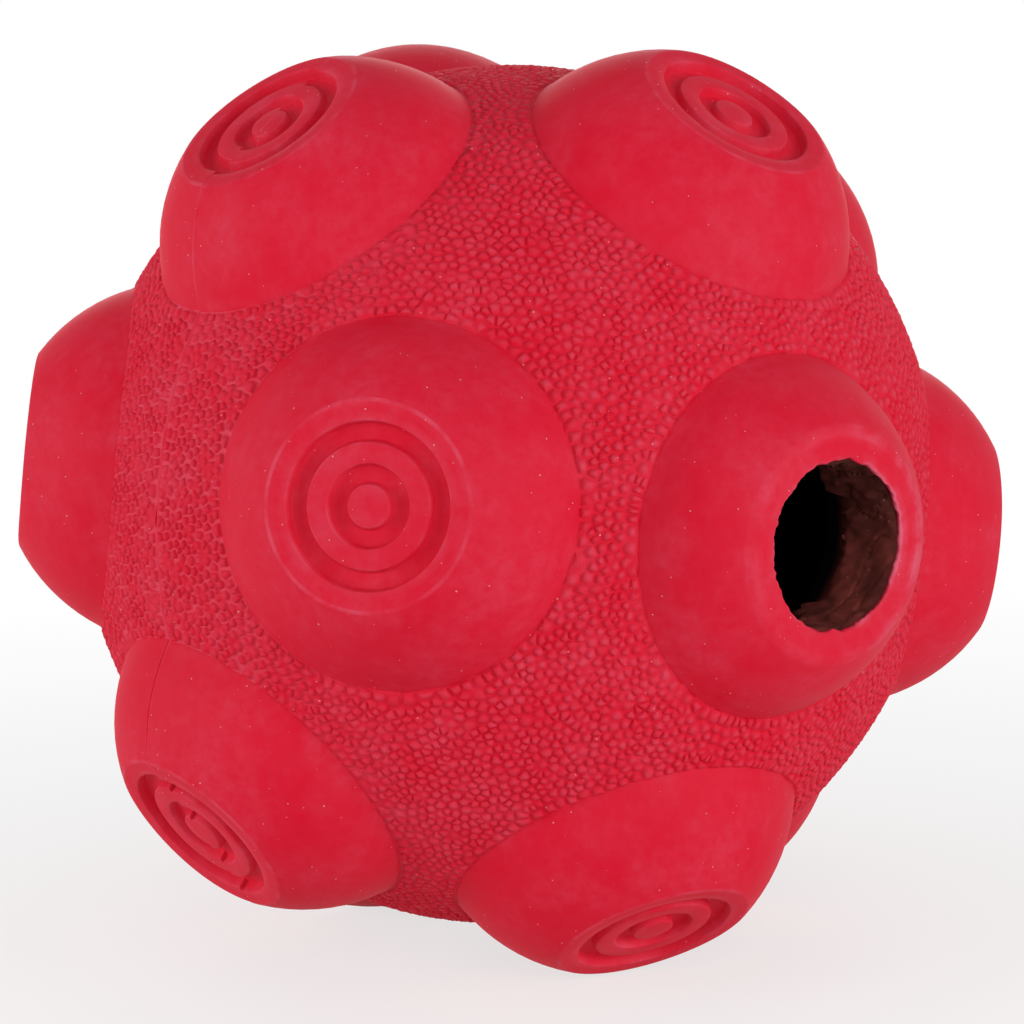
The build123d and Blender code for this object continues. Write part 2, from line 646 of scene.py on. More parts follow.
        foot_share = np.minimum(self.foot * evened * grown[seed], self.foot_limit)[:, None]
        lift = self.crown * rng.uniform(*self.rise, len(own))
        # how much paler each crown is painted: rubbed wear and a painted highlight on the pebble tops
        rubbed = rng.uniform(*self.rubbing_and_highlight, len(own))
        foot_way = unit(centre[seed] + outward * foot_share)
        shoulder_way = unit(centre[seed] + outward * foot_share * self.shoulder)
        feet = draft.add_points(
            foot_way * (radius - sunk[at])[:, None],
            crevice=self.foot_crevice * depth_share[at],
        )
        shoulders = draft.add_points(
            shoulder_way * (radius + self.shoulder_lift * lift[seed])[:, None],
            rubbed=self.shoulder_highlight * rubbed[seed],
            crevice=self.shoulder_crevice,
        )
        crowns = draft.add_points(centre * (radius + lift)[:, None], rubbed=rubbed)
        for low, high in ((crevices[at], feet), (feet, shoulders)):
            draft.faces.append(np.stack([low, low[following], high[following], high], axis=1))
        draft.faces.append(np.stack([shoulders, shoulders[following], crowns[seed]], axis=1))
        forward = at * len(crevice_way) + at[following]
        backward = at[following] * len(crevice_way) + at
        ends = np.stack([at, at[following]], axis=1)[~np.isin(backward, forward)]
        return crevices[ends], crevice_way[ends]


@dataclass
class KnobShape:
    """One knob's outline, from its foot on the body to its axis, and how it is carried round the axis.

    Lengths are in millimetres, the lip's shape in lips, and the step up from the foot in radians.
    """

    form: BallForm
    spokes: int = 80
    lip: float = 0.1
    soft: float = 0.13
    dome_rings: int = 10
    rim_rings: int = 5
    foot_step: float = 0.006
    lip_shape: tuple[tuple[float, float], ...] = ((1.0, -1.6), (0.6, -0.2))
    lip_points: int = 4
    land_share: float = 0.5
    dot_share: float = 0.25
    pale_edge_bend: float = 1.2

    def side(self, top: float, fillet: float) -> np.ndarray:
        """Radius and height of the foot's lip, the dome and the rounded rim.

        The dome is an arc about its centre, and the rim an arc that touches the dome and the flat top.

        Args:
            top: height of the flat top.
            fillet: radius of the rim.

        Returns:
            Points from the foot inwards.
        """
        form = self.form
        radius = form.dome_radius
        rim_height = top - fillet - form.dome_centre
        rim_x = math.sqrt((radius - fillet) ** 2 - rim_height**2)
        rim_angle = math.atan2(rim_height, rim_x)
        foot_x = form.body_radius * math.sin(form.foot_angle)
        foot_z = form.body_radius * math.cos(form.foot_angle)
        foot_angle = math.atan2(foot_z - form.dome_centre, foot_x)
        way = np.linspace(foot_angle + self.foot_step, rim_angle, self.dome_rings)
        dome = np.stack([radius * np.cos(way), form.dome_centre + radius * np.sin(way)], axis=1)
        turn = np.linspace(rim_angle, HALF_TURN / 2, self.rim_rings + 1)[1:]
        rim = np.stack([np.cos(turn), np.sin(turn)], axis=1) * fillet
        rim += [rim_x, top - fillet]
        lip = self.lip * np.array(self.lip_shape) + [foot_x, foot_z]
        return np.concatenate([lip, dome, rim])

    def relief(self) -> np.ndarray:
        """Radius and height of the two grooves, the raised ring and the centre dot, with soft corners.

        Returns:
            Points from the rim inwards.
        """
        form = self.form
        top, floor = form.face_distance, form.face_distance - form.relief_depth
        crest = top - form.ring_drop
        groove = form.knob_face_radius - form.land_width
        ring = groove - form.groove_width
        ring_inside = ring - form.ring_width
        dot = ring_inside - form.groove_width
        draft = form.relief_draft
        corners = np.array(
            [
                [form.knob_face_radius - self.land_share * form.land_width, top],
                [groove, top],
                [groove - draft, floor],
                [ring + draft, floor],
                [ring, crest],
                [ring_inside, crest],
                [ring_inside - draft, floor],
                [dot + draft, floor],
                [dot, crest],
                [self.dot_share * dot, crest],
            ]
        )
        return rounded(corners, self.soft)

    def wear_and_highlight_along(self, outline: np.ndarray) -> np.ndarray:
        """How pale each point of an outline is painted, from 0 to 1: partly edge wear, partly a painted
        highlight on the convex edges.

        This is the bend for each millimetre where the outline is convex, and zero in the lip at the foot.

        Args:
            outline: radius and height of each ring.

        Returns:
            One value for each ring.
        """
        along = np.diff(outline, axis=0)
        length = np.linalg.norm(along, axis=1)
        heading = np.unwrap(np.arctan2(along[:, 1], along[:, 0]))
        bend = np.zeros(len(outline))
        bend[1:-1] = 2 * np.diff(heading) / (length[1:] + length[:-1])
        bend[: self.lip_points] = 0
        return np.clip(bend / self.pale_edge_bend, 0, 1)

    @staticmethod
    def carried(axis: np.ndarray, side: np.ndarray, outline: np.ndarray, turns: np.ndarray) -> np.ndarray:
        """Points of an outline carried round an axis.

        Args:
            axis: the knob's unit vector.
            side: unit vector square to the axis that a quarter turn points at.
            outline: radius and height of each ring.
            turns: angles round the axis.

        Returns:
            Points by ring and angle.
        """
        start = np.cross(side, axis)
        round_axis = np.cos(turns)[:, None] * start + np.sin(turns)[:, None] * side
        return outline[:, :1, None] * round_axis + outline[:, 1:, None] * axis


@dataclass
class RubberCover:
    """The red cover of one half: knobs, grain, the cut edge at the mouth and the hidden underside.

    Lengths are in millimetres, the strip's reach in pitches of the grain, the twist and the sharp angle
    in degrees, and the gap at the pole in radians.
    """

    form: BallForm
    half: Half
    node: str
    grain: PebbleGrain
    knob: KnobShape
    mouth_spokes: int = 180
    underside_rings: int = 20
    underside_spokes: int = 72
    waviness: float = 0.05
    mouth_land_edge: float = 0.35
    mouth_rim: float = 2.2
    # painted highlight: how much paler the mouth knob is painted on its +x side, the lit right side
    rim_highlight: float = 4.0
    ragged: float = 0.12
    twist: float = 0.0
    slip: float = 0.14
    mouth_land: float = 1.2
    ragged_reach: float = 0.7
    ragged_coarse: Unevenness = Unevenness(0.8, 2.2, 5)
    ragged_fine: Unevenness = Unevenness(0.7, 0.8, 6)
    swell: Unevenness = Unevenness(1.0, 17.0, 21)
    strip_reach: float = 1.2
    bore_margin: float = 0.4
    pole_gap: float = 0.03
    sharp_angle: float = 66.0
    draft: MeshDraft = field(default_factory=MeshDraft)
    seam_loop: np.ndarray = field(default_factory=lambda: np.zeros((0, 3)))

    def knob_side(self, axis: np.ndarray) -> np.ndarray:
        """Unit vector square to a knob's axis, out of the seam plane on this half for a seam knob.

        Args:
            axis: the knob's unit vector.

        Returns:
            The unit vector that a quarter turn points at.
        """
        pole = np.array([0.0, self.half.value, 0.0])
        if abs(axis @ pole) > ALONG:
            return np.array([1.0, 0.0, 0.0])
        return unit(pole - axis * (pole @ axis))

    def mouth_outline(self) -> np.ndarray:
        """Radius and height of the mouth knob, over its flat land and down into the bore to the core.

        Returns:
            Points from the foot inwards.
        """
        form = self.form
        top, bore = form.mouth_face_distance, form.mouth_radius
        land = np.array(
            [
                [bore + self.mouth_land, top],
                [bore, top],
                [bore, top - form.cut_edge],
            ]
        )
        return np.concatenate([self.knob.side(top, self.mouth_rim), rounded(land, self.mouth_land_edge)])

    def add_knob(self, index: int, edge: np.ndarray, edge_way: np.ndarray) -> np.ndarray:
        """Add one knob and close the strip between its foot and the grain.

        The relief of a seam knob is slipped a little along the seam, each half its own way.

        Args:
            index: the knob's number in the form's list of axes.
            edge: vertex numbers of the two ends of each of the grain's open edges.
            edge_way: their unit vectors.

        Returns:
            Vertex numbers of the knob's innermost ring.
        """
        axis = self.form.knob_axes[index]
        side = self.knob_side(axis)
        on_seam = abs(axis[1]) < ON_PLANE
        mouth = index == 0
        outline = self.mouth_outline() if mouth else np.concatenate(
            [self.knob.side(self.form.face_distance, self.form.rim_fillet), self.knob.relief()]
        )
        spokes = self.mouth_spokes if mouth else self.knob.spokes
        turns = np.linspace(0, HALF_TURN, spokes // 2 + 1) if on_seam else spoke_angles(spokes)
        points = self.knob.carried(axis, side, outline, turns)
        wear = self.knob.wear_and_highlight_along(outline)[:, None]
        if mouth:
            # painted highlight: the mouth knob is painted paler on its +x side, most of all along its rounded
            # rim
            wear = wear * (1 + self.rim_highlight * np.clip(np.sin(turns), 0, 1))
            torn = self.ragged_coarse.at(points) + self.ragged_fine.at(points)
            inner = np.clip((outline[:, 0] - self.form.mouth_radius) / self.ragged_reach, 0, 1)
            outward = unit(points - axis * (points @ axis)[..., None])
            points += self.ragged * ((1 - inner)[:, None] * torn)[..., None] * outward
        slipped = self.slip * on_seam * np.cross(side, axis)
        inside = np.clip((self.form.knob_face_radius - outline[:, 0]) / self.form.land_width, 0, 1)
        rows = self.draft.add_points(points + inside[:, None, None] * slipped, wear=wear)
        self.draft.join_rows(rows, around=not on_seam)
        if not mouth:
            tip = self.draft.add_points((axis * outline[-1, 1] + slipped)[None])
            self.draft.fan(rows[-1], int(tip[0]), around=not on_seam)
        reach = self.strip_reach * self.grain.pitch / self.form.body_radius
        near = (np.abs(np.arccos(edge_way @ axis) - self.grain.edge_angle) < reach).all(axis=1)
        off_seam = np.abs(edge_way[..., 1]).max(axis=1) > TINY
        corners, kept = np.unique(edge[near & off_seam], return_index=True)
        way = edge_way[near & off_seam].reshape(-1, 3)[kept]
        angle = np.arctan2(way @ side, way @ np.cross(side, axis))
        turned = np.where(angle < -TINY, angle + FULL_TURN, np.maximum(angle, 0))
        self.draft.zip_rows(corners, turned, rows[0], turns, around=not on_seam)
        return rows[-1]

    def build(self) -> bpy.types.Object:
        """Make the cover's mesh.

        Returns:
            The cover, as one closed piece.
        """
        form, draft = self.form, self.draft
        edge, edge_way = self.grain.add_to(draft, self.half)
        bore = np.zeros(0, int)
        for index, axis in enumerate(form.knob_axes):
            if axis[1] * self.half.value > -ON_PLANE:
                ring = self.add_knob(index, edge, edge_way)
                bore = ring if index == 0 else bore
        seam = np.nonzero(np.abs(draft.points[:, 1]) < ON_PLANE)[0]
        away = unit(draft.points)
        swell = np.minimum(self.swell.at(draft.points), 1) - 1
        draft.points += away * (self.waviness * swell)[:, None]
        seam = seam[np.argsort(seam_angle(draft.points[seam]))]
        seam_angles = seam_angle(draft.points[seam])
        under_seam = draft.add_points(form.core_skin(unit(draft.points[seam])))
        draft.join_rows(np.stack([seam, under_seam]), around=True)
        nearest = self.pole_gap
        if len(bore):
            nearest = math.atan2(form.mouth_radius + self.bore_margin, form.mouth_face_distance)
        ways = bowl(self.half, nearest, self.underside_rings, self.underside_spokes)[1:]
        rows = draft.add_points(form.core_skin(ways))
        draft.join_rows(rows, around=True)
        angles = spoke_angles(self.underside_spokes)
        draft.zip_rows(under_seam, seam_angles, rows[0], angles, around=True)
        if len(bore):
            draft.zip_rows(bore, seam_angle(draft.points[bore]), rows[-1], angles, around=True)
        else:
            tip = draft.add_points(form.core_skin(np.array([[0.0, self.half.value, 0.0]])))
            draft.fan(rows[-1], int(tip[0]), around=True)
        turn = math.radians(self.twist)
        draft.points = draft.points @ np.array(Matrix.Rotation(turn, 3, "Y")).T
        self.seam_loop = draft.points[seam].copy()
        draft.points = form.open_seam(draft.points, self.half)
        return draft.to_object(self.node, self.sharp_angle)


@dataclass
class MouthCore:
    """The brown core of the mouth half, with the torn wall of the bore.

    Lengths and heights are in millimetres. Levels, limits and the cracks' depth and width are shares.
    """

    form: BallForm
    node: str
    spokes: int = 220
    rings: int = 26
    wall_rings: int = 30
    tear: float = 0.42
    ragged_end: float = 0.75
    clearance: float = 0.03
    end_coarse: Unevenness = Unevenness(1.0, 4.2, 31)
    end_fine: Unevenness = Unevenness(0.7, 1.5, 32)
    tear_level: float = 0.5
    tear_coarse: Unevenness = Unevenness(0.5, 3.4, 33)
    tear_fine: Unevenness = Unevenness(0.35, 1.1, 34)
    tear_stretch: tuple[float, float, float] = (1.0, 0.55, 1.0)
    crack_line: Unevenness = Unevenness(1.0, 5.0, 35, waves=4)
    crack_stretch: tuple[float, float, float] = (1.0, 1.6, 1.0)
    crack_depth: float = 1.3
    crack_width: float = 0.09
    calm_end: float = 0.12
    calm_level: float = 0.65
    calm_height: float = 9.0
    calm_limits: tuple[float, float] = (0.3, 1.2)
    outside_margin: float = 0.3
    pocket_margin: float = 1.0
    # painted light: the core is painted paler further down, most of all on the lower bore wall
    low_light_level: float = 0.35
    low_light_height: float = 10.0
    sharp_angle: float = 50.0

    def bore_wall(self, turns: np.ndarray) -> np.ndarray:
        """Points of the torn bore wall, from its ragged inner end to the cover.

        The radius is the bore's, drawn in by bands of noise that stretch along the tear, and notched by a
        few cracks, less so low down. The inner end's depth wanders by more noise.

        Args:
            turns: angles about the mouth's axis.

        Returns:
            Points by ring and angle.
        """
        form = self.form
        outer = form.mouth_face_distance - form.cut_edge - self.clearance
        pocket = form.dome_radius - form.wall
        inner = form.dome_centre + math.sqrt(pocket**2 - form.mouth_radius**2)
        circle = np.stack([np.sin(turns), np.zeros_like(turns), np.cos(turns)], axis=1) * form.mouth_radius
        wander = self.end_coarse.at(circle) + self.end_fine.at(circle)
        end = inner + self.ragged_end * wander
        share = np.linspace(0, 1, self.wall_rings)[:, None]
        depth = end + (outer - end) * share
        wall = np.broadcast_to(circle, (self.wall_rings, len(turns), 3)).copy()
        wall[..., 1] = Half.MOUTH.value * depth
        stretched = wall * self.tear_stretch
        torn = self.tear_level + self.tear_coarse.at(stretched) + self.tear_fine.at(stretched)
        crack = np.abs(self.crack_line.at(wall * self.crack_stretch))
        torn -= self.crack_depth * np.clip(1 - crack / self.crack_width, 0, 1)
        high_up = np.clip(self.calm_level + circle[:, 2] / self.calm_height, *self.calm_limits)
        fade = np.clip((1 - share) / self.calm_end, 0, 1) * high_up
        shrink = 1 - self.tear * torn * fade / form.mouth_radius
        wall[..., [0, 2]] *= shrink[..., None]
        return wall

    def build(self) -> bpy.types.Object:
        """Make the core's mesh: its outside, the seam face, the cavity and the bore wall in one closed grid.

        Returns:
            The core, as one closed piece.
        """
        form = self.form
        turns = spoke_angles(self.spokes)
        outside_x = form.mouth_radius + self.outside_margin
        outside_tilt = math.atan2(outside_x, form.mouth_face_distance - form.cover_thickness)
        outside = form.core_skin(bowl(Half.MOUTH, outside_tilt, self.rings, self.spokes))
        outside -= unit(outside) * self.clearance
        pocket_x = form.mouth_radius + self.pocket_margin
        pocket_z = form.dome_centre + math.sqrt((form.dome_radius - form.wall) ** 2 - pocket_x**2)
        cavity = form.cavity_skin(bowl(Half.MOUTH, math.atan2(pocket_x, pocket_z), self.rings, self.spokes))
        draft = MeshDraft()
        points = np.concatenate([outside[::-1], cavity, self.bore_wall(turns)])
        # painted light: paler the lower a point lies, standing in for light on the lower bore wall
        low_wall_light = np.clip(self.low_light_level - points[..., 2] / self.low_light_height, 0, 1)
        rows = draft.add_points(points, wear=low_wall_light)
        draft.join_rows(rows, around=True, closed=True)
        draft.points = form.open_seam(draft.points, Half.MOUTH)
        return draft.to_object(self.node, self.sharp_angle)


@dataclass
class SeamBond:
    """The cement between the halves, with its squeezed-out bead on the outside.

    Lengths are in millimetres and angles in degrees. The section's points are shares of the bead's half
    width and height, and those below zero lie at the cavity.
    """

    form: BallForm
    seam_loop: np.ndarray
    node: str
    finer: int = 3
    bead_height: float = 0.07
    bead_width: float = 0.36
    plain_tilt: float = 9.6
    steepest: float = 1.6
    height_level: float = 0.4
    height_coarse: Unevenness = Unevenness(0.6, 7.0, 41)
    height_fine: Unevenness = Unevenness(0.3, 1.7, 42)
    height_limits: tuple[float, float] = (0.15, 1.4)
    width_change: Unevenness = Unevenness(0.3, 4.0, 43)
    width_limits: tuple[float, float] = (0.9, 1.4)
    sink: float = 0.01
    section: tuple[tuple[float, float], ...] = (
        (-1.0, -1.0),
        (-1.0, 0.0),
        (-0.6, 0.75),
        (0.0, 1.0),
        (0.6, 0.75),
        (1.0, 0.0),
        (1.0, -1.0),
    )
    sharp_angle: float = 40.0

    def build(self) -> bpy.types.Object:
        """Make the bond's mesh.

        Its section reaches from the cavity out to the cover's edge, and ends in a rounded bead whose height
        and width wander along the seam, and which is trimmed off flush on the knob faces and on steep steps.
        The section is carried along the cover's edge.

        Returns:
            The bond, as one closed ring.
        """
        loop_angle = seam_angle(self.seam_loop)
        order = np.argsort(loop_angle)
        loop_angle = loop_angle[order]
        loop_radius = np.linalg.norm(self.seam_loop[order], axis=1)
        count = len(loop_angle)
        at = np.arange(count * self.finer) / self.finer
        turns = np.interp(at, np.arange(count + 1), np.append(loop_angle, loop_angle[0] + FULL_TURN))
        edge = np.interp(at, np.arange(count + 1), np.append(loop_radius, loop_radius[0]))
        ways = np.stack([np.sin(turns), np.zeros_like(turns), np.cos(turns)], axis=1)
        inside = np.linalg.norm(self.form.cavity_skin(ways), axis=1)
        ring = ways * self.form.body_radius
        climb = np.abs(np.roll(edge, -1) - np.roll(edge, 1))
        run = edge * np.mod(np.roll(turns, -1) - np.roll(turns, 1), FULL_TURN)
        calm = np.clip(self.steepest - climb / run, 0, 1)
        calm[(ways @ self.form.knob_axes.T).max(axis=1) > math.cos(math.radians(self.plain_tilt))] = 0
        calm = np.min([np.roll(calm, step) for step in range(-self.finer, self.finer + 1)], axis=0)
        uneven = self.height_level + self.height_coarse.at(ring) + self.height_fine.at(ring)
        height = calm * self.bead_height * np.clip(uneven, *self.height_limits)
        wide = self.bead_width / 2 * np.clip(1 + self.width_change.at(ring), *self.width_limits)
        half_width = self.form.half_bond + calm * (wide - self.form.half_bond)
        sideways, upward = np.array(self.section).T[:, :, None]
        buried = upward < 0
        proud = np.maximum(upward, 0)
        reach = np.where(buried, inside, edge - self.sink * calm + proud * height)
        aside = np.where(buried, np.sign(sideways) * self.form.half_bond, sideways * half_width)
        points = ways * reach[..., None]
        points[..., 1] = aside
        draft = MeshDraft()
        rows = draft.add_points(points, wear=proud)
        draft.join_rows(rows, around=True, closed=True)
        return draft.to_object(self.node, self.sharp_angle)


class NodeSheet:
    """Short ways to add nodes and links to one node tree."""

    def __init__(self, tree: bpy.types.NodeTree) -> None:
        """Keep the tree that the nodes go into."""
        self.tree = tree

    def add(self, kind: str, **settings: object) -> bpy.types.Node:
        """A new node.

        Args:
            kind: the node's type.
            settings: its settings by attribute name.

        Returns:
            The node.
        """
        node = self.tree.nodes.new(kind)
        for name, setting in settings.items():
            setattr(node, name, setting)
        return node

    def feed(self, socket: bpy.types.NodeSocket, source: object) -> None:
        """Give a socket a link from another socket, or a plain value.

        Args:
            socket: the input to feed.
            source: an output socket, or the value.
        """
        if isinstance(source, bpy.types.NodeSocket):
            self.tree.links.new(source, socket)
        else:
            socket.default_value = source

    def math(self, operation: str, a: object, b: object = 0.0, clamp: bool = False) -> bpy.types.NodeSocket:
        """The result of a Math node.

        Args:
            operation: the node's operation.
            a: a socket or number.
            b: a socket or number.
            clamp: whether the result is kept between 0 and 1.

        Returns:
            The node's output.
        """
        node = self.add("ShaderNodeMath", operation=operation, use_clamp=clamp)
        self.feed(node.inputs[0], a)
        self.feed(node.inputs[1], b)
        return node.outputs[0]

    def spread(
        self, value: object, low: float, high: float, to_low: float = 0.0, to_high: float = 1.0
    ) -> bpy.types.NodeSocket:
        """A value mapped from one range to another, clamped.

        Args:
            value: a socket or number.
            low: start of its range.
            high: end of its range.
            to_low: what the start is mapped to.
            to_high: what the end is mapped to.

        Returns:
            The node's output.
        """
        node = self.add("ShaderNodeMapRange", clamp=True)
        for socket, source in zip(node.inputs, (value, low, high, to_low, to_high)):
            self.feed(socket, source)
        return node.outputs[0]

    def blend(self, share: object, a: object, b: object) -> bpy.types.NodeSocket:
        """A colour between two colours.

        Args:
            share: from 0, the first colour, to 1, the second.
            a: a socket or colour.
            b: a socket or colour.

        Returns:
            The node's output.
        """
        node = self.add("ShaderNodeMix", data_type="RGBA", clamp_factor=True)
        self.feed(node.inputs[0], share)
        for socket, colour in zip(MIX_COLOURS, (a, b)):
            self.feed(node.inputs[socket], colour)
        return node.outputs[MIX_RESULT]

    def noise(
        self, place: object, scale: object, detail: float = 3.0, roughness: float = 0.55
    ) -> bpy.types.NodeSocket:
        """The value of a noise texture.

        Args:
            place: the position.
            scale: waves for each metre, as a socket or number.
            detail: how many finer layers are added.
            roughness: how strong they are.

        Returns:
            The node's output.
        """
        node = self.add("ShaderNodeTexNoise")
        self.feed(node.inputs["Vector"], place)
        self.feed(node.inputs["Scale"], scale)
        self.feed(node.inputs["Detail"], detail)
        self.feed(node.inputs["Roughness"], roughness)
        return node.outputs[0]

    def place(self) -> bpy.types.NodeSocket:
        """The position in the ball's own frame."""
        return self.add("ShaderNodeTexCoord").outputs["Object"]

    def value(self, value: Value) -> bpy.types.NodeSocket:
        """A vertex value of the piece."""
        return self.add("ShaderNodeAttribute", attribute_name=value.value).outputs["Fac"]


GroupParts = tuple[bpy.types.NodeTree, NodeSheet, bpy.types.Node, bpy.types.Node]


class EffectLibrary:
    """Shader groups that more than one finish uses, each built once."""

    def __init__(self) -> None:
        """Build the groups."""
        self.bloom = self._bloom()
        self.specks = self._specks()
        self.tooth = self._tooth()

    @staticmethod
    def _start(name: str, inputs: dict[str, float], output: str) -> GroupParts:
        """An empty group with named number sockets.

        Args:
            name: the group's name.
            inputs: the inputs' defaults by name.
            output: the output's name.

        Returns:
            The group, its sheet, and its input and output nodes.
        """
        tree = bpy.data.node_groups.new(name, "ShaderNodeTree")
        number = "NodeSocketFloat"
        for label, default in inputs.items():
            socket = tree.interface.new_socket(label, in_out="INPUT", socket_type=number)
            socket.default_value = default
        tree.interface.new_socket(output, in_out="OUTPUT", socket_type=number)
        sheet = NodeSheet(tree)
        return tree, sheet, sheet.add("NodeGroupInput"), sheet.add("NodeGroupOutput")

    def _bloom(self) -> bpy.types.NodeTree:
        """Pale chalky bloom that rises to the surface of rubber in soft clouds and thin streaks.

        The mask is the cloud times the sum of a steady share and the streak.

        Returns:
            The group.
        """
        scales = {"Cloud Scale": 190.0, "Streak Scale": 900.0}
        tree, sheet, given, result = self._start("chalk_bloom", scales, "Mask")
        steady = 0.35
        place = sheet.place()
        cloud = sheet.spread(sheet.noise(place, given.outputs[0], detail=4.0), low=0.28, high=0.82)
        streaks = sheet.noise(place, given.outputs[1], detail=5.0, roughness=0.65)
        streak = sheet.spread(streaks, low=0.35, high=0.75)
        mask = sheet.math("MULTIPLY", cloud, sheet.math("ADD", steady, streak), clamp=True)
        sheet.feed(result.inputs[0], mask)
        return tree

    def _specks(self) -> bpy.types.NodeTree:
        """Small scattered specks of pale dust, one at most in each cell of the given scale.

        A share of the cells has a speck, which is the given size times a random factor.

        Returns:
            The group.
        """
        sizes = {"Cells": 1000.0, "Size": 0.055, "Share": 0.75}
        tree, sheet, given, result = self._start("dust_specks", sizes, "Mask")
        least = 0.4
        cells = sheet.add("ShaderNodeTexVoronoi", feature="F1")
        sheet.feed(cells.inputs["Vector"], sheet.place())
        sheet.feed(cells.inputs["Scale"], given.outputs["Cells"])
        chance = sheet.add("ShaderNodeSeparateColor")
        sheet.feed(chance.inputs[0], cells.outputs["Color"])
        present = sheet.math("LESS_THAN", chance.outputs[0], given.outputs["Share"])
        size = sheet.math("MULTIPLY", given.outputs["Size"], sheet.math("ADD", least, chance.outputs[1]))
        inside = sheet.math("LESS_THAN", cells.outputs["Distance"], size)
        sheet.feed(result.inputs[0], sheet.math("MULTIPLY", present, inside))
        return tree

    def _tooth(self) -> bpy.types.NodeTree:
        """Fine uneven surface of moulded rubber: the mean of two noises, as a height from 0 to 1.

        Returns:
            The group.
        """
        scales = {"Fine Scale": 5200.0, "Coarse Scale": 900.0}
        tree, sheet, given, result = self._start("rubber_tooth", scales, "Height")
        place = sheet.place()
        noises = [sheet.noise(place, given.outputs[i], detail=2.0) for i in range(len(scales))]
        halves = [sheet.math("MULTIPLY", noise, 1 / len(scales)) for noise in noises]
        sheet.feed(result.inputs[0], sheet.math("ADD", *halves))
        return tree


